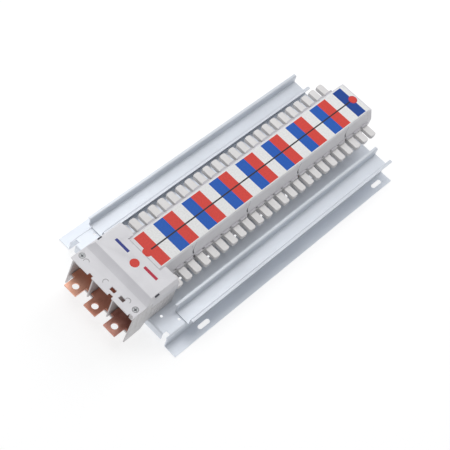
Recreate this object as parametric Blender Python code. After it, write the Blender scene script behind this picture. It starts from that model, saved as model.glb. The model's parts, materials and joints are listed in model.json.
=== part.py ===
"""Three-phase busbar chassis of a distribution board.

A folded steel pan carries a 35 mm top-hat rail along each side. Between the rails, insulating supports hold
three copper phase bars, one above the other. Each bar has a tongue for every third module on both sides,
and plastic shields cover the tongues. A terminal block at one end leads the three incoming tags out.

X runs along the chassis, from the incoming tags to the end cap, Y across it and Z up. Inside this file X = 0
is where the first module starts, and the chassis empty then moves everything so that the origin is under the
middle of the whole object.
"""

import math

import bmesh
import bpy
from mathutils import Vector

MM = 0.001
GAP = 0.3 * MM  # between pieces that touch on the real object

# Modules: one is the width of one breaker pole. Each section is one length of support, cover and shields,
# given as its number of modules. Hooks repeat once in each group of three modules.
MODULE = 18 * MM
SECTIONS = (3, 6, 6, 6, 3)
GROUP = 3 * MODULE
HOOK_PLACE = 2 * MODULE

# Pan: folded sheet, raised floor, flanges with slots.
PAN_HALF_WIDTH = 117 * MM
PAN_HEIGHT = 22.5 * MM
PAN_SHEET = 1.5 * MM
PAN_BEND = 1.2 * MM
PAN_START = -45 * MM
PAN_SHORT = 8.5 * MM  # from the pan's end to the end of the last module
FLANGE_WIDTH = 20.5 * MM
END_WALL_IN = 10 * MM  # from the pan's side wall
END_WALL_DROP = 15 * MM
NOTCH_IN = 3 * MM
NOTCH_DEPTH = 8 * MM
SLOT_LENGTH = 21.5 * MM
SLOT_WIDTH = 7 * MM
SLOT_EDGE = 10.8 * MM  # slot centre line, in from the flange's edge
SLOT_FROM_START = 65.4 * MM
SLOT_FROM_END = 23.9 * MM
PAN_HOLE = 4.5 * MM
PAN_HOLES = ((17.9 * MM, 30.2 * MM), (33.7 * MM, 11.9 * MM))  # from the pan's start, and from its side wall

# Rails: 35 mm wide, 15 mm high top-hat profile.
RAIL_WIDTH = 35 * MM
RAIL_BASE = 27 * MM
RAIL_HEIGHT = 15 * MM
RAIL_SHEET = 1.5 * MM
RAIL_BEND = 0.8 * MM
RAIL_OVERHANG = 7.75 * MM  # outer lip, past the pan's side wall
RAIL_START = -8 * MM

# Copper: three flat bars, tongues and tags.
BAR_THICK = 3 * MM
BAR_HALF_WIDTH = 20 * MM
BAR_PITCH = 10 * MM  # between two bars, one above the other
TONGUE_RISE = 30 * MM  # from the pan's floor to the middle of every tongue and of the middle bar
TONGUE_WIDTH = 8 * MM
TONGUE_LENGTH = 18 * MM  # outside the covers
JOGGLE_OUT = 5 * MM
BAR_END_PLAY = 3 * MM
CROSS_ARM = (-27 * MM, -9 * MM)
RISER_FRONT = -50 * MM
TAG_PITCH = 38.4 * MM
TAG_TIP = -98 * MM
TAG_SHOULDER = -79 * MM
TAG_HALF_WIDTH = 11.2 * MM
TAG_ROOM = 1.2 * MM  # from a tag's wide part to a barrier
TAG_RISE = 0.5 * MM  # above the pan's floor
TAG_HOLE = 10 * MM
TAG_HOLE_IN = 10.4 * MM  # hole centre, in from the tip

# Insulating supports, covers and end cap.
BODY_HALF_WIDTH = 36.5 * MM
SUPPORT_WALL = 2.5 * MM
RIB_THICK = 3 * MM
COVER_RISE = 23 * MM  # from the middle of the tongues to the top
COVER_SLOPE = (6.5 * MM, 16.5 * MM)  # across, and down
COVER_WALL = 2 * MM
COVER_PAD = 13 * MM
HOOK_WIDTH = 8 * MM
HOOK_DROP = 3.2 * MM  # below the underside of the pan's floor
HOOK_BARB = 1.5 * MM
HOOK_SLOT_ROOM = 5.5 * MM  # outside the support, to push the hook in
HOOD_HALF_WIDTH = 7 * MM
HOOD_REACH = 3 * MM
HOOD_HEIGHT = 3.4 * MM
CAP_LENGTH = 9 * MM
CAP_DROP = 7.5 * MM  # below the middle of the tongues
LABEL_THICK = 0.4 * MM
LABEL_MARGIN = 1.5 * MM
LABEL_LEAD = 7.5 * MM
FIRST_COVER_LEAD = 8 * MM

# Finger shields.
SHIELD_WIDTH = 11.6 * MM
SHIELD_THICK = 7 * MM
SHIELD_END = 4.3 * MM  # past the tongue's tip
SHIELD_WEB = 1.8 * MM
SHIELD_TIP_RADIUS = 3.2 * MM

# Terminal block.
BARRIER = 2 * MM
ROOF = 2 * MM
TERMINAL_WALL = 1.8 * MM
SHELF_FRONT = -84 * MM
SHELF_BACK = -57.5 * MM
PLATEAU_FRONT = -46 * MM
PLATEAU_END = 2 * MM
PLATEAU_RISE = 5.5 * MM  # from the shelf
PLATEAU_PROUD = 1 * MM  # above the busbar covers
PLATEAU_BEVEL = 4.8 * MM
NOTCH_FROM = -8.3 * MM
NOTCH_ROOM = 1.2 * MM
BARRIER_TOP_X = -78 * MM
BARRIER_TIP = (-86.5 * MM, 7.5 * MM)
BARRIER_HEEL = (-57 * MM, 10.5 * MM)
TRAY_THICK = 3.7 * MM
TRAY_BACK = -46.7 * MM
INNER_BARRIER_BACK = -28 * MM
RECESS_WIDTH = 7 * MM
RECESS_DEPTH = 4 * MM
WINDOW_X = -73.8 * MM
WINDOWS_Y = (-12 * MM, -28.9 * MM)
WINDOW_SIZE = (6 * MM, 9 * MM)

# Cover screws.
SCREW_X = -71 * MM
SCREW_IN = 6.1 * MM  # from the outer barrier's middle
SCREW_HEAD = 7.6 * MM
SCREW_HEAD_THICK = 2.2 * MM
SCREW_SHANK = 4 * MM
SCREW_LENGTH = 12.6 * MM
SCREW_SINK = 0.2 * MM
CUP_WALL = 0.7 * MM
CUP_DEPTH = 5 * MM
POST_LENGTH = 17.7 * MM

# Derived places.
MODULES = sum(SECTIONS)
BODY_LENGTH = MODULES * MODULE
CHASSIS_END = BODY_LENGTH + CAP_LENGTH
PAN_END = BODY_LENGTH - PAN_SHORT
PAN_WALL = PAN_HALF_WIDTH - FLANGE_WIDTH
SEAT = PAN_HEIGHT + GAP  # underside of all that stands on the pan's floor
RAIL_MIDDLE = PAN_WALL + RAIL_OVERHANG - RAIL_WIDTH / 2
TONGUE_HEIGHT = PAN_HEIGHT + TONGUE_RISE
TONGUE_REACH = BODY_HALF_WIDTH + TONGUE_LENGTH
SHIELD_REACH = TONGUE_REACH + SHIELD_END
SHIELD_BOTTOM = TONGUE_HEIGHT - SHIELD_THICK / 2
SHIELD_TOP = TONGUE_HEIGHT + SHIELD_THICK / 2
SHIELD_ROOT = BODY_HALF_WIDTH + GAP
COVER_TOP = TONGUE_HEIGHT + COVER_RISE
COVER_TOP_HALF = BODY_HALF_WIDTH - COVER_SLOPE[0]
COVER_SHOULDER = COVER_TOP - COVER_SLOPE[1]
COVER_BOTTOM = SHIELD_TOP + GAP
WALL_TOP = SHIELD_BOTTOM - GAP
CAVITY_HALF_WIDTH = TONGUE_WIDTH / 2 + GAP
CAVITY_HALF_HEIGHT = BAR_THICK / 2 + GAP
HOOK_INNER = BODY_HALF_WIDTH - SUPPORT_WALL + GAP
TAG_BOTTOM = PAN_HEIGHT + TAG_RISE
TAG_ROOT_HALF = TAG_PITCH / 2 - BARRIER / 2 - TAG_ROOM
TRAY_TOP = TAG_BOTTOM - GAP
TRAY_BOTTOM = TRAY_TOP - TRAY_THICK
OUTER_BARRIER = 1.5 * TAG_PITCH
TERMINAL_HALF = OUTER_BARRIER + BARRIER / 2 + 0.2 * MM
PLATEAU_TOP = COVER_TOP + PLATEAU_PROUD
PLATEAU_HALF = TERMINAL_HALF - PLATEAU_BEVEL
SHELF_TOP = PLATEAU_TOP - PLATEAU_RISE
SKIRT_BOTTOM = SHIELD_TOP
BARRIER_TOP = SHELF_TOP - ROOF - GAP
SCREW_Y = OUTER_BARRIER - SCREW_IN
UNDER_HEAD = SHELF_TOP - SCREW_SINK - SCREW_HEAD_THICK
POST_TOP = SHELF_TOP - CUP_DEPTH - GAP
BAR_HEIGHTS = {
    "L1": TONGUE_HEIGHT + BAR_PITCH,
    "L2": TONGUE_HEIGHT,
    "L3": TONGUE_HEIGHT - BAR_PITCH,
}
TAG_PLACES = {"L1": TAG_PITCH, "L2": 0.0, "L3": -TAG_PITCH}
SIDES = {"far": 1, "near": -1}


# ---------------------------------------------------------------- outlines and solids


def rounded(corners, steps=4):
    """An outline of points from corners (u, v, radius), where each radius over 0 becomes an arc."""
    outline = []
    for index, (u, v, radius) in enumerate(corners):
        corner = Vector((u, v))
        if radius <= 0:
            outline.append(corner)
            continue
        back = (Vector(corners[index - 1][:2]) - corner).normalized()
        ahead = (Vector(corners[(index + 1) % len(corners)][:2]) - corner).normalized()
        half = back.angle(ahead) / 2
        centre = corner + (back + ahead).normalized() * (radius / math.sin(half))
        first = corner + back * (radius / math.tan(half)) - centre
        last = corner + ahead * (radius / math.tan(half)) - centre
        start = math.atan2(first.y, first.x)
        turn = (math.atan2(last.y, last.x) - start + math.pi) % math.tau - math.pi
        for step in range(steps + 1):
            angle = start + turn * step / steps
            outline.append(centre + radius * Vector((math.cos(angle), math.sin(angle))))
    return outline


def folded(path, thickness, inner_radius):
    """The outline of a folded sheet, which lies to the left of the path of points (u, v)."""
    points = [Vector(point) for point in path]
    ways = [(b - a).normalized() for a, b in zip(points, points[1:])]
    lefts = [Vector((-way.y, way.x)) for way in ways]
    right_side = [(*points[0], 0)]
    left_side = [(*(points[0] + lefts[0] * thickness), 0)]
    for index in range(1, len(points) - 1):
        before, after = lefts[index - 1], lefts[index]
        inner = points[index] + (before + after) * (thickness / (1 + before.dot(after)))
        turns_left = ways[index - 1].cross(ways[index]) > 0
        radii = (inner_radius + thickness, inner_radius)
        right_side.append((*points[index], radii[0] if turns_left else radii[1]))
        left_side.append((*inner, radii[1] if turns_left else radii[0]))
    right_side.append((*points[-1], 0))
    left_side.append((*(points[-1] + lefts[-1] * thickness), 0))
    return rounded(right_side + left_side[::-1])


def prism(outline, axis, low, high):
    """The outline pushed from low to high along an axis. Its (u, v) are the two other axes, in order."""
    shape = bmesh.new()
    along = "XYZ".index(axis)
    rings = []
    for place in (low, high):
        ring = []
        for u, v in outline:
            point = [u, v]
            point.insert(along, place)
            ring.append(shape.verts.new(point))
        rings.append(ring)
    count = len(outline)
    for ring in rings:
        shape.faces.new(ring)
    for index in range(count):
        after = (index + 1) % count
        shape.faces.new((rings[0][index], rings[0][after], rings[1][after], rings[1][index]))
    bmesh.ops.recalc_face_normals(shape, faces=shape.faces[:])
    return shape


def both_ways(half):
    return -half, half


def block(x, y, z):
    """A box from three (low, high) pairs, in either order."""
    (x0, x1), (y0, y1) = sorted(x), sorted(y)
    return prism(((x0, y0), (x1, y0), (x1, y1), (x0, y1)), "Z", *sorted(z))


def rod(x, y, diameter, low, high, sides=24):
    """An upright round rod."""
    turns = (math.tau * index / sides for index in range(sides))
    radius = diameter / 2
    outline = [(x + radius * math.cos(turn), y + radius * math.sin(turn)) for turn in turns]
    return prism(outline, "Z", low, high)


def stadium(x, y, length, width, low, high):
    """An upright slot with round ends, long along X."""
    half, radius = length / 2, width / 2
    corners = (
        (x - half, y - radius, radius * 0.999),
        (x + half, y - radius, radius * 0.999),
        (x + half, y + radius, radius * 0.999),
        (x - half, y + radius, radius * 0.999),
    )
    return prism(rounded(corners, 6), "Z", low, high)


def together(shapes):
    """One shape from several that don't touch."""
    result = bmesh.new()
    for shape in shapes:
        carrier = bpy.data.meshes.new("carrier")
        shape.to_mesh(carrier)
        shape.free()
        result.from_mesh(carrier)
        bpy.data.meshes.remove(carrier)
    return result


def new_object(name, shape):
    mesh = bpy.data.meshes.new(name)
    shape.to_mesh(mesh)
    shape.free()
    obj = bpy.data.objects.new(name, mesh)
    bpy.context.scene.collection.objects.link(obj)
    obj.parent = chassis
    return obj


def solid(name, finish, shape, smooth=False):
    """A visible sub-part with its own material."""
    obj = new_object(name, shape)
    obj.data.materials.append(finish)
    if smooth:
        obj.data.shade_smooth()
        obj.data.set_sharp_from_angle(angle=math.radians(40))
    return obj


def shape_with(obj, operation, shapes):
    """Adds shapes to an object (UNION) or cuts them from it (DIFFERENCE). No two of them touch."""
    tool = new_object(f"{obj.name}_{operation.lower()}_{len(obj.modifiers)}", together(shapes))
    tool.location = obj.location
    tool.hide_render = True
    tool.display_type = "WIRE"
    modifier = obj.modifiers.new(operation.title(), "BOOLEAN")
    modifier.operation = operation
    modifier.solver = "EXACT"
    modifier.object = tool


def add(obj, *shapes):
    shape_with(obj, "UNION", shapes)


def cut(obj, *shapes):
    shape_with(obj, "DIFFERENCE", shapes)


def material(name, colour, roughness, metallic=0.0):
    finish = bpy.data.materials.new(name)
    finish.use_nodes = True
    shader = finish.node_tree.nodes["Principled BSDF"]
    shader.inputs["Base Color"].default_value = (*colour, 1)
    shader.inputs["Roughness"].default_value = roughness
    shader.inputs["Metallic"].default_value = metallic
    return finish


# ---------------------------------------------------------------- places that several parts share


def sections():
    """Each section's number, start, end, modules and hook places."""
    start = 0.0
    first_module = 0
    for number, count in enumerate(SECTIONS, 1):
        end = start + count * MODULE
        modules = range(first_module, first_module + count)
        hooks = [start + group * GROUP + HOOK_PLACE for group in range(count // 3)]
        yield number, start, end, modules, hooks
        start = end
        first_module += count


def module_middle(module):
    return (module + 0.5) * MODULE


def hook_places():
    return [place for *_, hooks in sections() for place in hooks]


def cover_path(bottom):
    """The outside of the busbar cover, from its +Y edge over the top to its -Y edge."""
    right = [
        (BODY_HALF_WIDTH, bottom),
        (BODY_HALF_WIDTH, COVER_SHOULDER),
        (COVER_TOP_HALF, COVER_TOP),
    ]
    return right + [(-y, z) for y, z in right[::-1]]


# ---------------------------------------------------------------- steel


def make_pan(finish):
    wall = PAN_WALL - PAN_SHEET
    under_floor = PAN_HEIGHT - PAN_SHEET
    across = [(-PAN_HALF_WIDTH, 0), (-wall, 0), (-wall, under_floor)]
    across += [(-y, z) for y, z in across[::-1]]
    pan = solid("pan", finish, prism(folded(across, PAN_SHEET, PAN_BEND), "X", PAN_START, PAN_END))
    floor_cut = (under_floor - 3 * PAN_BEND, PAN_HEIGHT + PAN_SHEET)
    notch = both_ways(PAN_WALL - NOTCH_IN)
    cut(
        pan,
        block((PAN_START - PAN_SHEET, PAN_START + NOTCH_DEPTH), notch, floor_cut),
        block((PAN_END - NOTCH_DEPTH, PAN_END + PAN_SHEET), notch, floor_cut),
    )
    lowest = PAN_HEIGHT - END_WALL_DROP
    along = [
        (PAN_START + PAN_SHEET, lowest),
        (PAN_START + PAN_SHEET, under_floor),
        (PAN_END - PAN_SHEET, under_floor),
        (PAN_END - PAN_SHEET, lowest),
    ]
    end_wall = PAN_WALL - END_WALL_IN
    add(pan, prism(folded(along, PAN_SHEET, PAN_BEND), "Y", -end_wall, end_wall))
    through = (-PAN_SHEET, 2 * PAN_SHEET)
    through_floor = (under_floor - PAN_SHEET, PAN_HEIGHT + PAN_SHEET)
    openings = []
    for side in SIDES.values():
        slot_y = side * (PAN_HALF_WIDTH - SLOT_EDGE)
        for slot_x in (PAN_START + SLOT_FROM_START, PAN_END - SLOT_FROM_END):
            openings.append(stadium(slot_x, slot_y, SLOT_LENGTH, SLOT_WIDTH, *through))
        for along_pan, inward in PAN_HOLES:
            hole_y = side * (PAN_WALL - inward)
            openings.append(rod(PAN_START + along_pan, hole_y, PAN_HOLE, *through_floor))
        for place in hook_places():
            reach = HOOK_WIDTH / 2 + 1 * MM
            sides = (side * (HOOK_INNER - 0.5 * MM), side * (BODY_HALF_WIDTH + HOOK_SLOT_ROOM))
            openings.append(block((place - reach, place + reach), sides, through_floor))
    cut(pan, *openings)


def make_rail(side_name, side, finish):
    base, lip = RAIL_BASE / 2, RAIL_WIDTH / 2
    under_lip = SEAT + RAIL_HEIGHT - RAIL_SHEET
    path = [(-lip, under_lip), (-base, under_lip), (-base, SEAT)]
    path += [(-y, z) for y, z in path[::-1]]
    path = [(y + side * RAIL_MIDDLE, z) for y, z in path]
    outline = folded(path, RAIL_SHEET, RAIL_BEND)
    solid(f"rail_{side_name}", finish, prism(outline, "X", RAIL_START, PAN_END))


# ---------------------------------------------------------------- copper


def tongue(phase, module, side):
    """A tongue from its bar's edge, stepped up or down to the height that all tongues share."""
    bar, half = BAR_HEIGHTS[phase], BAR_THICK / 2
    root = BAR_HALF_WIDTH - 2 * MM
    x = module_middle(module)
    ends = (x - TONGUE_WIDTH / 2, x + TONGUE_WIDTH / 2)
    if phase == "L2":
        return block(ends, (side * root, side * TONGUE_REACH), (bar - half, bar + half))
    way = math.copysign(1, TONGUE_HEIGHT - bar)
    step = BAR_HALF_WIDTH + JOGGLE_OUT
    outer_step = step + BAR_THICK
    outline = [
        (root, bar - way * half),
        (outer_step, bar - way * half),
        (outer_step, TONGUE_HEIGHT - way * half),
        (TONGUE_REACH, TONGUE_HEIGHT - way * half),
        (TONGUE_REACH, TONGUE_HEIGHT + way * half),
        (step, TONGUE_HEIGHT + way * half),
        (step, bar + way * half),
        (root, bar + way * half),
    ]
    return prism([(side * y, z) for y, z in outline], "X", *ends)


def make_phase_bar(phase, number, finish):
    """One bar with all its tongues, its cross arm, its riser and its incoming tag."""
    height, tag_y = BAR_HEIGHTS[phase], TAG_PLACES[phase]
    low, high = height - BAR_THICK / 2, height + BAR_THICK / 2
    span = (CROSS_ARM[0], BODY_LENGTH - BAR_END_PLAY)
    bar = solid(f"phase_bar_{phase}", finish, block(span, both_ways(BAR_HALF_WIDTH), (low, high)))
    modules = range(number, MODULES, len(BAR_HEIGHTS))
    add(bar, *(tongue(phase, module, side) for module in modules for side in SIDES.values()))
    riser_back = RISER_FRONT + BAR_THICK
    tag_top = TAG_BOTTOM + BAR_THICK
    lap = CROSS_ARM[0] + 5 * MM
    lead = [
        (TAG_SHOULDER, TAG_BOTTOM),
        (riser_back, TAG_BOTTOM),
        (riser_back, low),
        (lap, low),
        (lap, high),
        (RISER_FRONT, high),
        (RISER_FRONT, tag_top),
        (TAG_SHOULDER, tag_top),
    ]
    add(bar, prism(lead, "Y", tag_y - TAG_ROOT_HALF, tag_y + TAG_ROOT_HALF))
    tag_span = (TAG_TIP, TAG_SHOULDER + BAR_THICK)
    tag = block(tag_span, (tag_y - TAG_HALF_WIDTH, tag_y + TAG_HALF_WIDTH), (TAG_BOTTOM, tag_top))
    extras = [tag]
    if tag_y:
        outer = tag_y + math.copysign(TAG_ROOT_HALF, tag_y)
        extras.append(block(CROSS_ARM, (0, outer), (low, high)))
    add(bar, *extras)
    hole_x = TAG_TIP + TAG_HOLE_IN
    cut(bar, rod(hole_x, tag_y, TAG_HOLE, TAG_BOTTOM - BAR_THICK, tag_top + BAR_THICK))


def make_spacer(name, below, above, finish):
    """An insulating strip that fills the space between two bars."""
    low = BAR_HEIGHTS[below] + BAR_THICK / 2 + GAP
    high = BAR_HEIGHTS[above] - BAR_THICK / 2 - GAP
    span = (CROSS_ARM[0], BODY_LENGTH - BAR_END_PLAY)
    solid(name, finish, block(span, both_ways(BAR_HALF_WIDTH), (low, high)))


# ---------------------------------------------------------------- insulating body


def make_support(number, start, end, hooks, finish):
    """A trough with comb ribs for the bars, and hooks that hold it in the pan's slots."""
    path = [(-BODY_HALF_WIDTH, WALL_TOP), (-BODY_HALF_WIDTH, SEAT)]
    path += [(-y, z) for y, z in path[::-1]]
    trough = folded(path, SUPPORT_WALL, 0.5 * MM)
    support = solid(f"busbar_support_{number}", finish, prism(trough, "X", start + GAP / 2, end - GAP / 2))
    low = SEAT + SUPPORT_WALL / 2
    rib_top = BAR_HEIGHTS["L3"] - BAR_THICK / 2 - GAP
    horn_top = BAR_HEIGHTS["L1"] + BAR_THICK / 2
    horn = BAR_HALF_WIDTH + GAP
    inside = BODY_HALF_WIDTH - SUPPORT_WALL / 2
    rib = [(inside, low), (inside, rib_top), (horn + RIB_THICK, rib_top)]
    rib += [(horn + RIB_THICK, horn_top), (horn, horn_top), (horn, rib_top)]
    rib += [(-y, z) for y, z in rib[::-1]]
    ribs = [prism(rib, "X", start + GAP / 2, start + GAP / 2 + RIB_THICK)]
    middle = start + GROUP
    while middle < end - GROUP / 2:
        ribs.append(prism(rib, "X", middle - RIB_THICK / 2, middle + RIB_THICK / 2))
        middle += GROUP
    ribs.append(prism(rib, "X", end - GAP / 2 - RIB_THICK, end - GAP / 2))
    add(support, *ribs)
    foot = PAN_HEIGHT - PAN_SHEET - HOOK_DROP
    catch = PAN_HEIGHT - PAN_SHEET - GAP
    barb = BODY_HALF_WIDTH + HOOK_BARB
    hook = [(HOOK_INNER, low), (HOOK_INNER, foot), (barb, foot + HOOK_BARB), (barb, catch)]
    hook += [(BODY_HALF_WIDTH, catch), (BODY_HALF_WIDTH, low)]
    lugs = []
    for place in hooks:
        for side in SIDES.values():
            outline = [(side * y, z) for y, z in hook]
            lugs.append(prism(outline, "X", place - HOOK_WIDTH / 2, place + HOOK_WIDTH / 2))
    add(support, *lugs)


def make_cover(number, start, end, modules, finish):
    """A snap-on length of cover with a small hood over each finger, and pads that press on the top bar."""
    lead = FIRST_COVER_LEAD if number == 1 else -GAP / 2
    first = start - lead
    shell = folded(cover_path(COVER_BOTTOM), COVER_WALL, 0.6 * MM)
    cover = solid(f"busbar_cover_{number}", finish, prism(shell, "X", first, end - GAP / 2))
    pad_low = BAR_HEIGHTS["L1"] + BAR_THICK / 2 + GAP
    pad_high = COVER_TOP - COVER_WALL / 2
    pads = []
    hoods = []
    for side in SIDES.values():
        edges = (side * COVER_PAD, side * (COVER_PAD + COVER_WALL))
        pads.append(block((start + GAP, end - GAP), edges, (pad_low, pad_high)))
        root = BODY_HALF_WIDTH - COVER_WALL / 2
        brow = BODY_HALF_WIDTH + HOOD_REACH
        for module in modules:
            x = module_middle(module)
            corners = (
                (x - HOOD_HALF_WIDTH, side * root, 0),
                (x + HOOD_HALF_WIDTH, side * root, 0),
                (x + HOOD_HALF_WIDTH, side * brow, HOOD_REACH * 0.8),
                (x - HOOD_HALF_WIDTH, side * brow, HOOD_REACH * 0.8),
            )
            hoods.append(prism(rounded(corners, 3), "Z", COVER_BOTTOM, COVER_BOTTOM + HOOD_HEIGHT))
    add(cover, *pads)
    add(cover, *hoods)


def make_shields(number, modules, side_name, side, finish):
    """A strip of hollow caps, one over each tongue, joined by a thin web at their roots."""
    half = SHIELD_WIDTH / 2
    margin = half - 1 * MM
    span = (module_middle(modules[0]) - margin, module_middle(modules[-1]) + margin)
    web = (side * SHIELD_ROOT, side * (SHIELD_ROOT + SHIELD_WEB))
    heights = (SHIELD_BOTTOM, SHIELD_TOP)
    strip = solid(f"finger_shields_{side_name}_{number}", finish, block(span, web, heights), smooth=True)
    caps = []
    cavities = []
    bottom, top = TONGUE_HEIGHT - CAVITY_HALF_HEIGHT, TONGUE_HEIGHT + CAVITY_HALF_HEIGHT
    for module in modules:
        x = module_middle(module)
        corners = (
            (x - half, side * SHIELD_ROOT, 0),
            (x + half, side * SHIELD_ROOT, 0),
            (x + half, side * SHIELD_REACH, SHIELD_TIP_RADIUS),
            (x - half, side * SHIELD_REACH, SHIELD_TIP_RADIUS),
        )
        caps.append(prism(rounded(corners), "Z", *heights))
        depth = (side * (SHIELD_ROOT - SHIELD_WEB), side * (TONGUE_REACH + 2 * GAP))
        cavity = block((x - CAVITY_HALF_WIDTH, x + CAVITY_HALF_WIDTH), depth, (bottom, top))
        cavities.append(cavity)
    add(strip, *caps)
    cut(strip, *cavities)


def make_end_cap(finish):
    """A hollow cap over the far end of the bars, open below and towards the last cover."""
    start = BODY_LENGTH + GAP / 2
    bottom = TONGUE_HEIGHT - CAP_DROP
    cap = solid("end_cap", finish, prism(cover_path(bottom), "X", start, CHASSIS_END))
    inset = [(y - COVER_WALL, z) for y, z in cover_path(bottom - COVER_WALL)[:2]]
    inset.append((COVER_TOP_HALF - 0.7 * COVER_WALL, COVER_TOP - COVER_WALL))
    inset += [(-y, z) for y, z in inset[::-1]]
    cut(cap, prism(inset, "X", start - COVER_WALL, CHASSIS_END - COVER_WALL))


def make_label(finish):
    low = COVER_TOP + GAP
    span = (-LABEL_LEAD, CHASSIS_END - 3 * MM)
    half = COVER_TOP_HALF - LABEL_MARGIN
    solid("phase_label", finish, block(span, both_ways(half), (low, low + LABEL_THICK)))


# ---------------------------------------------------------------- terminal block


def make_terminal_base(finish):
    """Four barrier walls with a tray under the tags, a floor on the pan and posts for the cover's screws."""
    back = -GAP
    skirt_seat = SKIRT_BOTTOM - GAP
    outer = [
        (BARRIER_TOP_X, BARRIER_TOP),
        BARRIER_TIP,
        BARRIER_HEEL,
        (RISER_FRONT, SEAT),
        (back, SEAT),
        (back, skirt_seat),
        (PLATEAU_FRONT, skirt_seat),
        (PLATEAU_FRONT, BARRIER_TOP),
    ]
    inner = [
        (BARRIER_TOP_X - 1 * MM, BARRIER_TOP),
        (BARRIER_TOP_X - 5.5 * MM, TRAY_BOTTOM),
        (TRAY_BACK, TRAY_BOTTOM),
        (TRAY_BACK, SEAT),
        (INNER_BARRIER_BACK, SEAT),
        (INNER_BARRIER_BACK, BARRIER_TOP),
    ]
    half = BARRIER / 2
    outside = OUTER_BARRIER + half
    base = solid("terminal_base", finish, prism(outer, "Y", OUTER_BARRIER - half, outside))
    tray_front = BARRIER_TOP_X - 2 * MM
    floor = (TRAY_BACK + GAP, back)
    add(
        base,
        block((tray_front, TRAY_BACK), both_ways(OUTER_BARRIER), (TRAY_BOTTOM, TRAY_TOP)),
        block(floor, both_ways(OUTER_BARRIER), (SEAT, SEAT + SUPPORT_WALL)),
    )
    add(base, prism(outer, "Y", -outside, -outside + BARRIER))
    walls = []
    for side in SIDES.values():
        middle = side * TAG_PITCH / 2
        walls.append(prism(inner, "Y", middle - half, middle + half))
    add(base, *walls)
    post_reach = SCREW_SHANK / 2 + 2 * MM
    backs = []
    posts = []
    for side in SIDES.values():
        edges = (side * (BODY_HALF_WIDTH + GAP), side * OUTER_BARRIER)
        backs.append(block((back - BARRIER, back), edges, (SEAT, skirt_seat)))
        edges = (side * (SCREW_Y - post_reach), side * OUTER_BARRIER)
        span = (SCREW_X - post_reach, SCREW_X + post_reach)
        posts.append(block(span, edges, (POST_TOP - POST_LENGTH, POST_TOP)))
    add(base, *backs)
    add(base, *posts)
    bore = SCREW_SHANK + 2 * GAP
    bottom = UNDER_HEAD - SCREW_LENGTH - BARRIER
    cut(base, *(rod(SCREW_X, side * SCREW_Y, bore, bottom, POST_TOP + ROOF) for side in SIDES.values()))


def make_terminal_cover(finish):
    """A lift-off roof: a low front shelf, a slope, and a plateau that reaches over the first cover."""
    roof = [
        (SHELF_FRONT, SHELF_TOP - ROOF),
        (SHELF_BACK - 0.5 * MM, SHELF_TOP - ROOF),
        (PLATEAU_FRONT - 0.8 * MM, PLATEAU_TOP - ROOF),
        (PLATEAU_END, PLATEAU_TOP - ROOF),
        (PLATEAU_END, PLATEAU_TOP),
        (PLATEAU_FRONT, PLATEAU_TOP),
        (SHELF_BACK, SHELF_TOP),
        (SHELF_FRONT, SHELF_TOP),
    ]
    cover = solid("terminal_cover", finish, prism(roof, "Y", -TERMINAL_HALF, TERMINAL_HALF))
    cheek = [
        (SHELF_BACK - 0.5 * MM, SHELF_TOP - ROOF),
        (PLATEAU_FRONT + ROOF, SHELF_TOP - ROOF),
        (PLATEAU_FRONT + ROOF, PLATEAU_TOP - ROOF / 2),
        (PLATEAU_FRONT - 0.4 * MM, PLATEAU_TOP - ROOF / 2),
    ]
    cheeks = []
    bevels = []
    for side in SIDES.values():
        cheeks.append(prism(cheek, "Y", side * (PLATEAU_HALF - ROOF), side * TERMINAL_HALF))
        outline = (
            (side * PLATEAU_HALF, PLATEAU_TOP),
            (side * (TERMINAL_HALF + ROOF), PLATEAU_TOP + ROOF),
            (side * (TERMINAL_HALF + ROOF), SHELF_TOP - PLATEAU_RISE * 0.3),
            (side * TERMINAL_HALF, SHELF_TOP),
        )
        bevels.append(prism(outline, "X", SHELF_BACK, PLATEAU_END + ROOF))
    add(cover, *cheeks)
    cut(cover, *bevels)
    path = [(TERMINAL_HALF, SKIRT_BOTTOM), (TERMINAL_HALF, SHELF_TOP), (PLATEAU_HALF, PLATEAU_TOP)]
    path += [(-y, z) for y, z in path[::-1]]
    skirt = folded(path, TERMINAL_WALL, 0)
    add(cover, prism(skirt, "X", PLATEAU_FRONT + GAP, PLATEAU_END))
    cup = SCREW_HEAD + 2 * GAP + 2 * CUP_WALL
    cup_bottom = SHELF_TOP - CUP_DEPTH
    cup_top = SHELF_TOP - ROOF / 2
    add(cover, *(rod(SCREW_X, side * SCREW_Y, cup, cup_bottom, cup_top) for side in SIDES.values()))
    head_seat = UNDER_HEAD - GAP
    above = SHELF_TOP + ROOF
    openings = []
    for side in SIDES.values():
        openings.append(rod(SCREW_X, side * SCREW_Y, SCREW_HEAD + 2 * GAP, head_seat, above))
    for middle in WINDOWS_Y:
        length, width = WINDOW_SIZE
        span = (WINDOW_X - length / 2, WINDOW_X + length / 2)
        openings.append(block(span, (middle - width / 2, middle + width / 2), (SHELF_TOP - 2 * ROOF, above)))
    for wall in (TAG_PITCH / 2, -TAG_PITCH / 2, -OUTER_BARRIER):
        span = (SHELF_FRONT - ROOF, SHELF_FRONT + RECESS_DEPTH)
        edges = (wall, wall + RECESS_WIDTH)
        openings.append(block(span, edges, (SHELF_TOP - 2 * ROOF, above)))
    notch = both_ways(COVER_TOP_HALF + NOTCH_ROOM)
    heights = (PLATEAU_TOP - 2 * ROOF, PLATEAU_TOP + ROOF)
    openings.append(block((NOTCH_FROM, PLATEAU_END + ROOF), notch, heights))
    cut(cover, *openings)
    bore = SCREW_SHANK + 2 * GAP
    low = cup_bottom - ROOF
    cut(cover, *(rod(SCREW_X, side * SCREW_Y, bore, low, above) for side in SIDES.values()))


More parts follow.
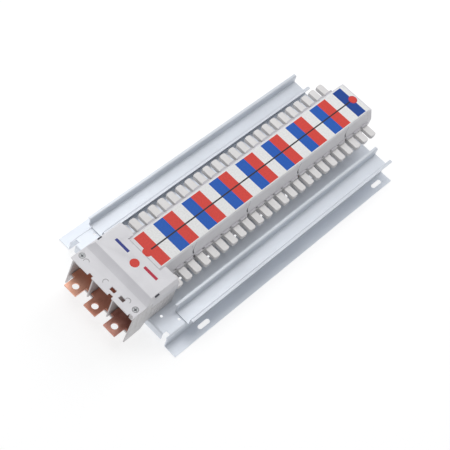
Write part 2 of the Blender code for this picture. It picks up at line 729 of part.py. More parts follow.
def make_cover_screw(side_name, side, finish):
    """A pan-head screw with a cross recess, whose origin is on its own axis, under its head."""
    shank = rod(0, 0, SCREW_SHANK, -SCREW_LENGTH, SCREW_HEAD_THICK / 2)
    screw = solid(f"cover_screw_{side_name}", finish, shank, smooth=True)
    screw.location = (SCREW_X, side * SCREW_Y, UNDER_HEAD)
    add(screw, rod(0, 0, SCREW_HEAD, 0, SCREW_HEAD_THICK))
    arm, width = SCREW_HEAD * 0.33, SCREW_HEAD * 0.07
    depth = (SCREW_HEAD_THICK * 0.4, SCREW_HEAD_THICK * 2)
    cross = rounded([(x, y, 0) for x, y in plus_outline(arm, width)])
    cut(screw, prism(cross, "Z", *depth))


def plus_outline(arm, width):
    """The outline of a plus sign."""
    quarter = [(arm, -width), (arm, width), (width, width)]
    outline = []
    for _ in range(4):
        outline += quarter
        quarter = [(-y, x) for x, y in quarter]
    return outline


# ---------------------------------------------------------------- the chassis


for old in list(bpy.data.objects):
    bpy.data.objects.remove(old, do_unlink=True)

chassis = bpy.data.objects.new("chassis", None)
bpy.context.scene.collection.objects.link(chassis)
chassis.location.x = -(TAG_TIP + CHASSIS_END) / 2

painted_steel = material("painted_steel", (0.66, 0.70, 0.76), 0.38)
rail_steel = material("rail_steel", (0.68, 0.72, 0.78), 0.36)
copper = material("copper", (0.72, 0.36, 0.24), 0.35, 1.0)
grey_plastic = material("grey_plastic", (0.72, 0.71, 0.71), 0.5)
cover_plastic = material("cover_plastic", (0.76, 0.76, 0.77), 0.48)
spacer_plastic = material("spacer_plastic", (0.12, 0.12, 0.13), 0.6)
label_film = material("label_film", (0.86, 0.86, 0.86), 0.45)
screw_steel = material("screw_steel", (0.55, 0.55, 0.56), 0.3, 1.0)

make_pan(painted_steel)
for side_name, side in SIDES.items():
    make_rail(side_name, side, rail_steel)
for phase_number, phase in enumerate(BAR_HEIGHTS):
    make_phase_bar(phase, phase_number, copper)
make_spacer("phase_spacer_lower", "L3", "L2", spacer_plastic)
make_spacer("phase_spacer_upper", "L2", "L1", spacer_plastic)
for number, start, end, modules, hooks in sections():
    make_support(number, start, end, hooks, grey_plastic)
    make_cover(number, start, end, modules, cover_plastic)
    for side_name, side in SIDES.items():
        make_shields(number, modules, side_name, side, grey_plastic)
make_end_cap(cover_plastic)
make_label(label_film)
make_terminal_base(grey_plastic)
make_terminal_cover(cover_plastic)
for side_name, side in SIDES.items():
    make_cover_screw(side_name, side, screw_steel)
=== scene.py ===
"""Looks of a three-phase busbar chassis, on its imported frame.

Sizes are in metres, and millimetres where a docstring or a comment says so. Places along the chassis are
counted from the start of the first module, and heights from the undersides of the pan's flanges, as the frame
has them.
"""

import json
import math

import bmesh
import bpy
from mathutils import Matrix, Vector

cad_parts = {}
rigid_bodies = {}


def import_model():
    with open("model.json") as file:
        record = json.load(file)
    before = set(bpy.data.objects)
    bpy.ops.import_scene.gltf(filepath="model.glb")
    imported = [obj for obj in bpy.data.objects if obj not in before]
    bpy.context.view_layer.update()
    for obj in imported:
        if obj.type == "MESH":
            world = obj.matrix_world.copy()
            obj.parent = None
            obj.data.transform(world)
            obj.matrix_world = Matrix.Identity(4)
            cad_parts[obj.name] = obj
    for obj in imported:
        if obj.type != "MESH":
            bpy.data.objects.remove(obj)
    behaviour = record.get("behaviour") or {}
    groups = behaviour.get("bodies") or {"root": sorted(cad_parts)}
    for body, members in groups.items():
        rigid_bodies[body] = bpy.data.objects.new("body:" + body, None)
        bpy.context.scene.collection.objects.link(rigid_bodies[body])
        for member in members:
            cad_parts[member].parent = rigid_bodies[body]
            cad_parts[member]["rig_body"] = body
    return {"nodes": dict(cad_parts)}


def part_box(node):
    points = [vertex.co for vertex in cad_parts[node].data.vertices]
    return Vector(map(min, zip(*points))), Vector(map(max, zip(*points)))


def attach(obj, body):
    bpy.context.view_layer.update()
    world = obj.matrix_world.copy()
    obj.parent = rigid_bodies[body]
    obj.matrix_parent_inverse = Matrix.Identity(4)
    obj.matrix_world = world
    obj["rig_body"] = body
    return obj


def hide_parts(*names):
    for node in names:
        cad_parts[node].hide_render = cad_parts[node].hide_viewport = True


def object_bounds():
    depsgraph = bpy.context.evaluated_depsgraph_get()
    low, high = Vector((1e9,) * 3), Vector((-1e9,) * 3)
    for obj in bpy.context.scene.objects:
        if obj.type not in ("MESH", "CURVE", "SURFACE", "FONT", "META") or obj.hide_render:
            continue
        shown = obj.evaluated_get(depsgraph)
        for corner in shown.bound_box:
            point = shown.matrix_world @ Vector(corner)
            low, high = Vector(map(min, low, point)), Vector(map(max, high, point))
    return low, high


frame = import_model()
cad_low, cad_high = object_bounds()

MM = 0.001
MODULE = 18  # millimetres from one breaker to the next
MODULES = 24
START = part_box("finger_shields_far_1")[0].x - 3.2 * MM  # where the first module begins
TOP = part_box("busbar_cover_2")[1].z
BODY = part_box("busbar_support_2")[1].y - 1.5 * MM  # half width of the busbar covers
HOOD_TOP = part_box("finger_shields_far_1")[1].z + 3.7 * MM  # top of the covers' hoods over the fingers
SIDES = (("far", 1), ("near", -1))
JOINTS = (3, 9, 15, 21)  # modules before each meeting of two covers

SMOOTH_ANGLE = 35  # degrees; an edge that turns more than this looks sharp
BEVEL_ANGLE = 32  # degrees; an edge that turns more than this is rounded
FLAT_ANGLE = 0.6  # degrees; faces that turn less than this are joined into one
WELD_DISTANCE = 2e-6
CIRCLE_POINTS = 48


# ---------------------------------------------------------------- materials


def shader(name, colour, roughness, metallic=0.0, **more):
    """A new material, its nodes, its links and its Principled shader."""
    finish = bpy.data.materials.new(name)
    finish.use_nodes = True
    tree = finish.node_tree
    principled = tree.nodes["Principled BSDF"]
    principled.inputs["Base Color"].default_value = (*colour, 1)
    principled.inputs["Roughness"].default_value = roughness
    principled.inputs["Metallic"].default_value = metallic
    for socket, value in more.items():
        principled.inputs[socket.replace("_", " ")].default_value = value
    return finish, tree, principled


def add_node(tree, kind, **settings):
    node = tree.nodes.new(kind)
    for key, value in settings.items():
        node.inputs[key].default_value = value
    return node


def noise(tree, scale, stretch=(1, 1, 1), detail=3.0, roughness=0.55):
    """Noise in object space, whose scale is in features to the metre."""
    place = add_node(tree, "ShaderNodeTexCoord")
    mapping = add_node(tree, "ShaderNodeMapping", Scale=stretch)
    field = add_node(tree, "ShaderNodeTexNoise", Scale=scale, Detail=detail, Roughness=roughness)
    tree.links.new(place.outputs["Object"], mapping.inputs["Vector"])
    tree.links.new(mapping.outputs["Vector"], field.inputs["Vector"])
    return field.outputs["Fac"]


def ramp(tree, factor, stops):
    """A colour ramp through (place, colour) stops."""
    node = add_node(tree, "ShaderNodeValToRGB")
    elements = node.color_ramp.elements
    while len(elements) < len(stops):
        elements.new(0.5)
    for element, (place, colour) in zip(elements, stops):
        element.position = place
        element.color = (*colour, 1)
    tree.links.new(factor, node.inputs["Fac"])
    return node.outputs["Color"]


def spread(tree, factor, low, high):
    """The factor, mapped from 0.3..0.7 to low..high."""
    node = add_node(tree, "ShaderNodeMapRange")
    node.inputs["From Min"].default_value = 0.3
    node.inputs["From Max"].default_value = 0.7
    node.inputs["To Min"].default_value = low
    node.inputs["To Max"].default_value = high
    tree.links.new(factor, node.inputs["Value"])
    return node.outputs["Result"]


def bumped(tree, principled, factor, strength, distance):
    node = add_node(tree, "ShaderNodeBump", Strength=strength, Distance=distance)
    tree.links.new(factor, node.inputs["Height"])
    tree.links.new(node.outputs["Normal"], principled.inputs["Normal"])


def shade(colour, amount):
    return tuple(min(1, channel * amount) for channel in colour)


def plastic(name, colour, roughness=0.5, grain=0.25):
    """Moulded plastic: a little cloudy, with the fine texture of a sparked mould."""
    finish, tree, principled = shader(name, colour, roughness, Specular_IOR_Level=0.4)
    clouds = noise(tree, 38, detail=4)
    tones = ((0.3, shade(colour, 0.965)), (0.7, shade(colour, 1.03)))
    tree.links.new(ramp(tree, clouds, tones), principled.inputs["Base Color"])
    tree.links.new(spread(tree, clouds, roughness + 0.06, roughness - 0.06), principled.inputs["Roughness"])
    bumped(tree, principled, noise(tree, 2600, detail=2), grain, 0.00008)
    return finish


def zinc(name, colour, roughness=0.36):
    """Bright zinc plate on cold-rolled strip: faint clouds, and finer streaks along the rolling direction."""
    finish, tree, principled = shader(name, colour, roughness, 0.3)
    clouds = noise(tree, 11, (1, 2.2, 1), detail=5)
    tones = ((0.3, shade(colour, 0.94)), (0.5, colour), (0.7, shade(colour, 1.045)))
    tree.links.new(ramp(tree, clouds, tones), principled.inputs["Base Color"])
    streaks = noise(tree, 1900, (0.02, 1, 1), detail=2)
    tree.links.new(spread(tree, streaks, roughness - 0.03, roughness + 0.04), principled.inputs["Roughness"])
    bumped(tree, principled, streaks, 0.06, 0.00003)
    return finish


def copper(name, bright, dull):
    """Drawn copper bar: drawing lines along it, and patches where it has dulled."""
    finish, tree, principled = shader(name, bright, 0.36, 0.6)
    patches = noise(tree, 46, (0.7, 1, 1), detail=5, roughness=0.62)
    tree.links.new(ramp(tree, patches, ((0.34, dull), (0.62, bright))), principled.inputs["Base Color"])
    lines = noise(tree, 1500, (0.02, 1, 1), detail=2)
    tree.links.new(spread(tree, lines, 0.27, 0.46), principled.inputs["Roughness"])
    bumped(tree, principled, lines, 0.2, 0.00008)
    return finish


def print_ink(name, colour):
    """Screen-printed ink on film: smooth, with slightly uneven density."""
    finish, tree, principled = shader(name, colour, 0.42, Specular_IOR_Level=0.22)
    density = noise(tree, 420, detail=3)
    tones = ((0.3, shade(colour, 0.93)), (0.7, shade(colour, 1.07)))
    tree.links.new(ramp(tree, density, tones), principled.inputs["Base Color"])
    tree.links.new(spread(tree, density, 0.38, 0.48), principled.inputs["Roughness"])
    return finish


PAN_STEEL = zinc("pan_zinc", (0.77, 0.81, 0.875), 0.4)
RAIL_STEEL = zinc("rail_zinc", (0.72, 0.755, 0.81), 0.36)
SCREW_STEEL = zinc("screw_zinc", (0.42, 0.43, 0.44), 0.3)
COVER_GREY = plastic("cover_plastic", (0.71, 0.70, 0.725))
BODY_GREY = plastic("body_plastic", (0.66, 0.645, 0.65))
SHIELD_GREY = plastic("shield_plastic", (0.72, 0.705, 0.70), 0.46)
TERMINAL_GREY = plastic("terminal_plastic", (0.735, 0.725, 0.75))
# The hood tops: the covers' plastic painted darker, as painted shade, and rougher.
HOOD_TOP_PAINTED_SHADE = plastic("hood_top_painted_shade", (0.50, 0.49, 0.515), 0.6, 0.4)
# The terminal cover's front slope: its plastic painted darker, as painted shade, and rougher.
FRONT_SLOPE_PAINTED_SHADE = plastic("front_slope_painted_shade", (0.645, 0.635, 0.665), 0.6, 0.4)
# A darker grey of the plastic, painted shade: on the shelf's ridges, the rims round the screws and the strips
# beside the base's low ribs.
PAINTED_SHADE_GREY = plastic("painted_shade_plastic", (0.40, 0.39, 0.40), 0.6)
SPACER_BLACK = plastic("spacer_plastic", (0.05, 0.05, 0.055), 0.6)
# Near-black: the dark of the hooks at the covers' joints, and painted shade in the corner slots and in the
# screws' cross slots.
DARK_SEAM_AND_PAINTED_SHADE = plastic("seam_shadow", (0.06, 0.06, 0.075), 0.7)
LINE_GREY = plastic("seam_line", (0.30, 0.30, 0.33), 0.7)
# The three bars are one copper: the far bar painted lighter as painted light, the middle and near bars painted
# darker as painted shade; the dulled patches in each bar are the copper's own.
COPPERS = {
    "L1": copper("copper_far_painted_light", (0.88, 0.50, 0.37), (0.76, 0.37, 0.25)),
    "L2": copper("copper_middle_painted_shade", (0.72, 0.35, 0.25), (0.54, 0.22, 0.15)),
    "L3": copper("copper_near_painted_shade", (0.66, 0.33, 0.26), (0.42, 0.16, 0.12)),
}
FILM_WHITE = print_ink("film_white", (0.79, 0.79, 0.785))
INK_RED = print_ink("ink_red", (0.66, 0.062, 0.048))
INK_BLUE = print_ink("ink_blue", (0.018, 0.105, 0.46))
INK_END_BLUE = print_ink("ink_end_blue", (0.014, 0.062, 0.30))
INK_BLACK = print_ink("ink_black", (0.035, 0.032, 0.035))
INK_DARK_BLUE = print_ink("ink_dark_blue", (0.045, 0.06, 0.26))
INK_CRIMSON = print_ink("ink_crimson", (0.50, 0.035, 0.07))


# ---------------------------------------------------------------- mesh helpers


def at(along):
    """A place along the chassis, from millimetres after the start of the first module."""
    return START + along * MM


def link(name, data):
    obj = bpy.data.objects.new(name, data)
    bpy.context.scene.collection.objects.link(obj)
    return obj


def piece(name, shape, body, finishes, smooth=SMOOTH_ANGLE):
    """A new visible piece that rides on a body."""
    mesh = bpy.data.meshes.new(name)
    shape.to_mesh(mesh)
    shape.free()
    obj = link(name, mesh)
    for finish in finishes:
        mesh.materials.append(finish)
    if smooth:
        mesh.shade_smooth()
        mesh.set_sharp_from_angle(angle=math.radians(smooth))
    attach(obj, body)
    return obj


def soften(obj, width, segments=2):
    """Rounds the edges of a piece, as moulding, folding or deburring leaves them."""
    bevel = obj.modifiers.new("Soft edges", "BEVEL")
    bevel.width = width
    bevel.segments = segments
    bevel.limit_method = "ANGLE"
    bevel.angle_limit = math.radians(BEVEL_ANGLE)
    bevel.harden_normals = True
    return obj


def skin(node, finish, width, segments=2):
    """Stands in for a CAD node with the same solid, its edges softened."""
    source = frame["nodes"][node]
    shape = bmesh.new()
    shape.from_mesh(source.data)
    bmesh.ops.remove_doubles(shape, verts=shape.verts, dist=WELD_DISTANCE)
    flat = math.radians(FLAT_ANGLE)
    bmesh.ops.dissolve_limit(shape, angle_limit=flat, verts=shape.verts, edges=shape.edges)
    for face in shape.faces:
        face.material_index = 0
    obj = piece(node + "_skin", shape, source["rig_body"], [finish])
    soften(obj, width, segments)
    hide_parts(node)
    return obj


def second_finish(obj, finish, chosen):
    """Gives the faces of a piece that are chosen another finish."""
    obj.data.materials.append(finish)
    for face in obj.data.polygons:
        if chosen(face):
            face.material_index = 1


def prism(outline, low, high):
    """A solid from a flat outline pushed up from low to high."""
    shape = bmesh.new()
    rings = [[shape.verts.new((x, y, z)) for x, y in outline] for z in (low, high)]
    for ring in rings:
        shape.faces.new(ring)
    count = len(outline)
    for index in range(count):
        after = (index + 1) % count
        shape.faces.new((rings[0][index], rings[0][after], rings[1][after], rings[1][index]))
    bmesh.ops.recalc_face_normals(shape, faces=shape.faces[:])
    return shape


def box(x, y, z):
    (x0, x1), (y0, y1) = sorted(x), sorted(y)
    return prism(((x0, y0), (x1, y0), (x1, y1), (x0, y1)), *sorted(z))


def rectangle(x, y):
    """The outline of a rectangle, in metres from millimetres."""
    (x0, x1), (y0, y1) = x, y
    return [(at(x0), y0 * MM), (at(x1), y0 * MM), (at(x1), y1 * MM), (at(x0), y1 * MM)]


def arc(x, y, radius, first, last, steps=24):
    """Points of an arc, with its angles in degrees."""
    turns = (math.radians(first + (last - first) * step / steps) for step in range(steps + 1))
    return [(x + radius * math.cos(turn), y + radius * math.sin(turn)) for turn in turns]


def circle(x, y, radius):
    """The outline of a circle, in metres from millimetres."""
    last = 360 - 360 / CIRCLE_POINTS
    return arc(at(x), y * MM, radius * MM, 0, last, CIRCLE_POINTS - 1)


def crescent(x, y, radius, width, first, last):
    """The outline of a part of a ring, in metres from millimetres."""
    outer = arc(at(x), y * MM, (radius + width / 2) * MM, first, last)
    inner = arc(at(x), y * MM, (radius - width / 2) * MM, last, first)
    return outer + inner


def merged(shapes):
    result = bmesh.new()
    for shape in shapes:
        carrier = bpy.data.meshes.new("carrier")
        shape.to_mesh(carrier)
        shape.free()
        result.from_mesh(carrier)
        bpy.data.meshes.remove(carrier)
    return result


# ---------------------------------------------------------------- steel and copper

skin("pan", PAN_STEEL, 0.25 * MM)
for side_name, _ in SIDES:
    skin(f"rail_{side_name}", RAIL_STEEL, 0.3 * MM)
for phase, finish in COPPERS.items():
    skin(f"phase_bar_{phase}", finish, 0.3 * MM)
for level in ("lower", "upper"):
    skin(f"phase_spacer_{level}", SPACER_BLACK, 0.2 * MM)
for side_name, _ in SIDES:
    skin(f"cover_screw_{side_name}", SCREW_STEEL, 0.25 * MM)


# ---------------------------------------------------------------- plastic


# Chooses the hood tops, which are painted darker as painted shade.
def is_painted_shade_hood_top(face):
    return face.normal.z > 0.9 and abs(face.center.y) > BODY and face.center.z < HOOD_TOP + MM


# Chooses the front slope, which is painted darker as painted shade.
def is_painted_shade_front_slope(face):
    return -0.8 < face.normal.x < -0.3 and face.normal.z > 0.5


for number in range(1, 6):
    skin(f"busbar_support_{number}", BODY_GREY, 0.3 * MM)
    cover = skin(f"busbar_cover_{number}", COVER_GREY, 0.35 * MM)
    # The hood tops get the darker copy of the plastic: painted shade.
    second_finish(cover, HOOD_TOP_PAINTED_SHADE, is_painted_shade_hood_top)
    for side_name, _ in SIDES:
        skin(f"finger_shields_{side_name}_{number}", SHIELD_GREY, 0.9 * MM, 3)
skin("end_cap", COVER_GREY, 0.4 * MM)
skin("terminal_base", BODY_GREY, 0.25 * MM)
terminal_cover = skin("terminal_cover", TERMINAL_GREY, 0.35 * MM)
# The front slope gets the darker copy of the plastic: painted shade.
second_finish(terminal_cover, FRONT_SLOPE_PAINTED_SHADE, is_painted_shade_front_slope)


# ---------------------------------------------------------------- phase label

# Places on the label, in millimetres
BANDS_START, BANDS_END = -2, 430
LAST_BAND_START = 412
BANDS_HALF_WIDTH = 27
LINE_START, LINE_END = 5, 423  # the black line along the middle
LINE_HALF_WIDTH = 1.1
DOT_RADIUS = 7
DOT_MIDDLE_RADIUS = 5.8

LABEL_FINISHES = [FILM_WHITE, INK_RED, INK_BLUE, INK_BLACK, COVER_GREY, INK_END_BLUE]
WHITE, RED, BLUE, BLACK, GREY, END_BLUE = range(6)


def label_finish(x, y):
    """Which of the label's finishes shows at a place, in millimetres."""
    if abs(y) < LINE_HALF_WIDTH and LINE_START < x < LINE_END:
        return BLACK
    if x < BANDS_START:
        return GREY
    if abs(y) > BANDS_HALF_WIDTH or x > BANDS_END:
        return WHITE
    if x > LAST_BAND_START:
        return END_BLUE  # a darker blue than the other bands
    return (RED, WHITE, BLUE)[int((x - BANDS_START) // MODULE) % 3]


def make_label():
    """The label, divided where its colours meet, with a dot at each end."""
    low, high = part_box("phase_label")
    first, last = (low.x - START) / MM, (high.x - START) / MM
    bands = {BANDS_START + MODULE * band for band in range(MODULES + 1)}
    xs = sorted({first, last, LINE_START, LINE_END} | bands)
    half = high.y / MM
    ys = [-half, -BANDS_HALF_WIDTH, -LINE_HALF_WIDTH, LINE_HALF_WIDTH, BANDS_HALF_WIDTH, half]
    shape = bmesh.new()
    layers = [[[shape.verts.new((at(x), y * MM, z)) for y in ys] for x in xs] for z in (low.z, high.z)]
    bottom, top = layers
    for i in range(len(xs) - 1):
        for j in range(len(ys) - 1):
            for grid in layers:
                face = shape.faces.new((grid[i][j], grid[i + 1][j], grid[i + 1][j + 1], grid[i][j + 1]))
                if grid is top:
                    face.material_index = label_finish((xs[i] + xs[i + 1]) / 2, (ys[j] + ys[j + 1]) / 2)
    for i in range(len(xs) - 1):
        for j in (0, -1):
            shape.faces.new((bottom[i][j], bottom[i + 1][j], top[i + 1][j], top[i][j]))
    for j in range(len(ys) - 1):
        for i in (0, -1):
            shape.faces.new((bottom[i][j], bottom[i][j + 1], top[i][j + 1], top[i][j]))
    bmesh.ops.recalc_face_normals(shape, faces=shape.faces[:])
    label = piece("phase_label_film", shape, "chassis", LABEL_FINISHES, 0)
    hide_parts("phase_label")

    under = high.z - 0.1 * MM
    dots = (("label_dot_start", BANDS_START, INK_RED), ("label_dot_end", BANDS_END, INK_CRIMSON))
    for name, x, rim in dots:
        disc = prism(circle(x, 0, DOT_RADIUS), under, high.z + 0.06 * MM)
        piece(name, disc, "chassis", [rim])
        disc = prism(circle(x, 0, DOT_MIDDLE_RADIUS), under, high.z + 0.1 * MM)
        piece(name + "_middle", disc, "chassis", [INK_RED])


make_label()


# ---------------------------------------------------------------- joints of the busbar covers

# How far down and how far in the upper part of the covers' sides slopes, in millimetres
SLOPE_HEIGHT = 16.5
SLOPE_RUN = 6.5

# (x from the joint, height, width) of each side's lines, in millimetres
SEAM = ((8.6, 75, 0.6), (3.6, 70, 0.65), (0.3, 66.2, 0.8))
HOOK = ((1.6, 68, 1.0), (-0.1, 65.2, 2.1), (0.1, 61.8, 2.3), (2.6, 57.9, 1.5))
INLAY_BOTTOM, INLAY_TOP = -0.5, 0.05  # distances out of the surface


def on_slope(x, height, proud):
    """A point on the +Y side of the busbar covers, in metres, from millimetres."""
    (low_y, low_z), (high_y, high_z) = (BODY, TOP - SLOPE_HEIGHT * MM), (BODY - SLOPE_RUN * MM, TOP)
    z = height * MM
    share = max(0, min(1, (z - low_z) / (high_z - low_z)))
    y = low_y + share * (high_y - low_y)
    outwards = Vector((0, SLOPE_HEIGHT, SLOPE_RUN)).normalized() if z > low_z else Vector((0, 1, 0))
    return Vector((at(x), y, z)) + outwards * proud * MM


def strip_on_slope(joint_x, points, side):
    """A thin inlaid line on a cover's side, through points (x from the joint, height, width)."""
    shape = bmesh.new()
    corners = ((-1, INLAY_BOTTOM), (1, INLAY_BOTTOM), (1, INLAY_TOP), (-1, INLAY_TOP))
    rings = []
    for x, height, width in points:
        ring = []
        for across, proud in corners:
            place = on_slope(joint_x + x + across * width / 2, height, proud)
            ring.append(shape.verts.new((place.x, side * place.y, place.z)))
        rings.append(ring)
    for before, after in zip(rings, rings[1:]):
        for index in range(4):
            other = (index + 1) % 4
            shape.faces.new((before[index], before[other], after[other], after[index]))
    shape.faces.new(rings[0])
    shape.faces.new(rings[-1])
    bmesh.ops.recalc_face_normals(shape, faces=shape.faces[:])
    return shape


def make_cover_joints():
    """Where two covers meet, each side has a slanted seam that ends in an open hook."""
    for side_name, side in SIDES:
        for count in JOINTS:
            name = f"cover_joint_{side_name}_{count}"
            seam = strip_on_slope(MODULE * count, SEAM, side)
            piece(name + "_seam", seam, "chassis", [LINE_GREY], 0)
            hook = strip_on_slope(MODULE * count, HOOK, side)
            piece(name + "_hook", hook, "chassis", [DARK_SEAM_AND_PAINTED_SHADE], 0)


make_cover_joints()


# ---------------------------------------------------------------- terminal block

SHELF = TOP - 4.5 * MM  # the cover's lower shelf, where its screws are
PLATEAU = TOP + 1 * MM  # the cover's top
ABOVE = PLATEAU + 1 * MM  # where the tools that cut into the top end

# The printed marks of the top, in millimetres: two bars (x, y) and a dot (x, y, radius)
BLUE_BAR = ((-23.6, -19.2), (15.6, 41))
RED_BAR = ((-23.2, -18.8), (-38.8, -14.2))
RED_DOT = (-27, -1.7, 6.8)

# The slots in the two front corners of the top: along the chassis, and from its middle, in millimetres
SLOT_X = (-40.5, -33)
SLOT_Y = (54.4, 56.8)
SLOT_DEPTH = 1.2 * MM

# The curved ridges of the shelf: x, y and first angle of each, then what they share, in millimetres and degrees
RIDGES = ((-72.6, 41.5, -60), (-73.2, 3.2, -30), (-69.8, -35.6, -100))
RIDGE_RADIUS, RIDGE_WIDTH, RIDGE_SWEEP = 3.9, 0.9, 190
RIM_RADIUS, RIM_WIDTH, RIM_SWEEP = 4.5, 0.7, 358  # the rims round the screws
ROOT_DEPTH = 0.4 * MM  # how far such a detail goes down into its surface

# Half sizes along X and Y of the two arms of a screw's cross slot
CROSS_ARMS = ((2.4 * MM, 0.5 * MM), (0.5 * MM, 2.4 * MM))

# Uprights on the side walls of the base: middles along the chassis, then width, height and how far out
LOW_RIBS = [-44.5 + 5.6 * step for step in range(7)]
LOW_RIB_HALF_WIDTH, LOW_RIB_Z, LOW_RIB_OUT = 0.55, (24, 54.8), 0.55
GROOVE_X, GROOVE_Z, GROOVE_OUT = (0.7, 1.2), (24.4, 54.4), 0.05  # a dark strip beside each low rib, just proud of the wall: painted groove shade
TALL_RIBS = [-70 + 8 * step for step in range(3)]
TALL_RIB_HALF_WIDTH, TALL_RIB_Z, TALL_RIB_OUT = 0.5, (30, 66), 0.4


def terminal_print(name, outline, finish):
    """A mark printed in a shallow pocket of the terminal cover's top, and the tool that cuts the pocket."""
    inlay = prism(outline, PLATEAU - 0.3 * MM, PLATEAU - 0.03 * MM)
    piece(name, inlay, "terminal_cover", [finish], 0)
    return prism(outline, PLATEAU - 0.15 * MM, ABOVE)


def corner_slot(side, inset, low, high):
    """A box like the slot on one side, but smaller by an inset in millimetres."""
    x = (at(SLOT_X[0] + inset), at(SLOT_X[1] - inset))
    y = (side * (SLOT_Y[0] + inset) * MM, side * (SLOT_Y[1] - inset) * MM)
    return box(x, y, (low, high))


def cut_terminal_top():
    """Printed marks and a slot in each front corner, in pockets cut into the top of the terminal cover; each
    slot's floor is a near-black inlay, painted shade for the slot's dark inside.
    """
    pockets = [
        terminal_print("terminal_mark_blue", rectangle(*BLUE_BAR), INK_DARK_BLUE),
        terminal_print("terminal_mark_red", rectangle(*RED_BAR), INK_CRIMSON),
        terminal_print("terminal_mark_dot", circle(*RED_DOT), INK_RED),
    ]
    bottom = PLATEAU - SLOT_DEPTH
    pockets += [corner_slot(side, 0, bottom, ABOVE) for _, side in SIDES]
    # A near-black inlay at the floor of each corner slot: painted shade.
    dark = [corner_slot(side, 0.1, bottom - ROOT_DEPTH, bottom + 0.3 * MM) for _, side in SIDES]
    piece("terminal_corner_slot_painted_shade", merged(dark), "terminal_cover", [DARK_SEAM_AND_PAINTED_SHADE], 0)
    cutter = piece("terminal_pockets", merged(pockets), "terminal_cover", [DARK_SEAM_AND_PAINTED_SHADE], 0)
    cutter.hide_render = True
    cutter.display_type = "WIRE"
    pocket = terminal_cover.modifiers.new("Pockets", "BOOLEAN")
    pocket.operation = "DIFFERENCE"
    pocket.solver = "EXACT"
    pocket.object = cutter
    terminal_cover.modifiers.move(len(terminal_cover.modifiers) - 1, 0)


def make_ridges():
    """Three curved ridges on the shelf, in a darker grey that is painted shade."""
    ridges = []
    for x, y, first in RIDGES:
        outline = crescent(x, y, RIDGE_RADIUS, RIDGE_WIDTH, first, first + RIDGE_SWEEP)
        ridges.append(prism(outline, SHELF - ROOT_DEPTH, SHELF + 0.3 * MM))
    ridge = piece("terminal_ridges", merged(ridges), "terminal_cover", [PAINTED_SHADE_GREY])
    soften(ridge, 0.15 * MM)


def make_screw_details():
    """A rim round each screw's recess, in a darker grey that is painted shade, and a near-black cross in its
    head, painted shade deep in the cross slot.
    """
    for side_name, _ in SIDES:
        body = f"cover_screw_{side_name}"
        low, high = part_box(body)
        middle = (low + high) / 2
        x, y = (middle.x - START) / MM, middle.y / MM
        # The rim's darker grey is painted shade at the edge of the recess.
        outline = crescent(x, y, RIM_RADIUS, RIM_WIDTH, 0, RIM_SWEEP)
        rim = prism(outline, SHELF - ROOT_DEPTH, SHELF + 0.05 * MM)
        piece(body + "_rim_painted_shade", rim, "terminal_cover", [PAINTED_SHADE_GREY], 0)
        # The near-black cross is painted shade deep in the cross slot.
        heights = (high.z - 1.5 * MM, high.z - 0.9 * MM)
        cross = [
            box((middle.x - a, middle.x + a), (middle.y - b, middle.y + b), heights) for a, b in CROSS_ARMS
        ]
        piece(body + "_cross_painted_shade", merged(cross), body, [DARK_SEAM_AND_PAINTED_SHADE], 0)


def upright(side, x, z, outwards):
    """A strip up a side wall of the terminal base, its distances in millimetres."""
    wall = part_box("terminal_base")[1].y
    across = (side * (wall - 0.5 * MM), side * (wall + outwards * MM))
    return box((at(x[0]), at(x[1])), across, (z[0] * MM, z[1] * MM))


def make_wall_ribs():
    """Ribs on the side walls of the terminal base: seven low ones, each with a darker strip beside it as
    painted groove shade, and three tall ones.
    """
    ribs, grooves = [], []
    for _, side in SIDES:
        for x in LOW_RIBS:
            span = (x - LOW_RIB_HALF_WIDTH, x + LOW_RIB_HALF_WIDTH)
            ribs.append(upright(side, span, LOW_RIB_Z, LOW_RIB_OUT))
            # The darker strip beside each low rib is painted groove shade.
            span = (x + GROOVE_X[0], x + GROOVE_X[1])
            grooves.append(upright(side, span, GROOVE_Z, GROOVE_OUT))
        for x in TALL_RIBS:
            span = (x - TALL_RIB_HALF_WIDTH, x + TALL_RIB_HALF_WIDTH)
            ribs.append(upright(side, span, TALL_RIB_Z, TALL_RIB_OUT))
    rib = piece("terminal_ribs", merged(ribs), "chassis", [BODY_GREY])
    soften(rib, 0.2 * MM)
    piece("terminal_groove_painted_shade", merged(grooves), "chassis", [PAINTED_SHADE_GREY], 0)


cut_terminal_top()
make_ridges()
make_screw_details()
make_wall_ribs()


# ---------------------------------------------------------------- floor, light and camera

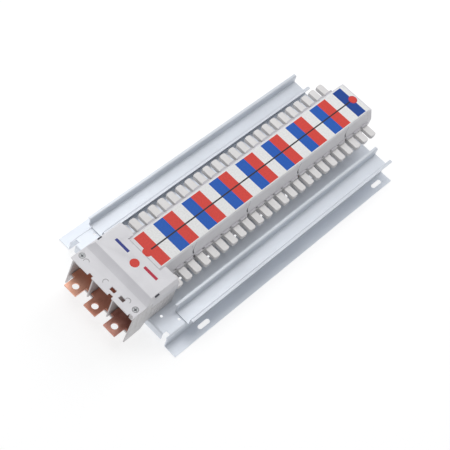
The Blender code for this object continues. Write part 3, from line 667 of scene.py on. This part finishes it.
FLOOR_HALF_SIZE = 6
FLOOR_GAP = 0.5 * MM
FLOOR_GREY = (0.34, 0.34, 0.34)
FLOOR_GLOW = 0.72
SKY_COLOUR = (0.97, 0.985, 1.0)
SKY_STRENGTH = 0.41
CAMERA_PLACE = (-0.8758, -0.4421, 1.3989)
CAMERA_TURN = (32.680, -12.025, -45.523)  # degrees about X, Y and Z
CAMERA_LENS = 94.05  # millimetres, on a sensor 36 mm wide


def make_floor():
    """A grey floor whose own glow makes it look white, just under the lowest point of the frame."""
    shape = bmesh.new()
    bmesh.ops.create_grid(shape, x_segments=2, y_segments=2, size=FLOOR_HALF_SIZE)
    mesh = bpy.data.meshes.new("floor")
    shape.to_mesh(mesh)
    shape.free()
    floor = link("floor", mesh)
    floor.location.z = cad_low.z - FLOOR_GAP
    paper, _, principled = shader("floor_paper", FLOOR_GREY, 0.9, Specular_IOR_Level=0.1)
    principled.inputs["Emission Color"].default_value = (1, 1, 1, 1)
    principled.inputs["Emission Strength"].default_value = FLOOR_GLOW
    mesh.materials.append(paper)


def make_sky():
    world = bpy.data.worlds.new("studio")
    bpy.context.scene.world = world
    world.use_nodes = True
    background = world.node_tree.nodes["Background"]
    background.inputs["Color"].default_value = (*SKY_COLOUR, 1)
    background.inputs["Strength"].default_value = SKY_STRENGTH


def add_light(name, place, target, size, energy, glossy=True):
    """A round soft light, turned towards its target."""
    lamp = bpy.data.lights.new(name, "AREA")
    lamp.shape = "DISK"
    lamp.size = size
    lamp.energy = energy
    obj = link(name, lamp)
    obj.location = place
    obj.visible_glossy = glossy
    obj.rotation_euler = (Vector(target) - Vector(place)).to_track_quat("-Z", "Y").to_euler()


def add_camera():
    camera = link("camera", bpy.data.cameras.new("camera"))
    camera.location = CAMERA_PLACE
    camera.rotation_euler = [math.radians(angle) for angle in CAMERA_TURN]
    camera.data.lens = CAMERA_LENS
    camera.data.sensor_width = 36
    camera.data.clip_start = 0.05
    bpy.context.scene.camera = camera


make_floor()
make_sky()
add_light("key", place=(1.7, 0.3, 1.5), target=(0, 0, 0), size=1.4, energy=15, glossy=False)
add_light("front", place=(-1.5, 0.35, 1.0), target=(-0.25, 0, 0), size=1.0, energy=0.8)
add_light("top", place=(0.2, 1.05, 2.25), target=(0, 0, 0), size=2.2, energy=26)
add_camera()
bpy.context.scene.view_settings.view_transform = "Standard"
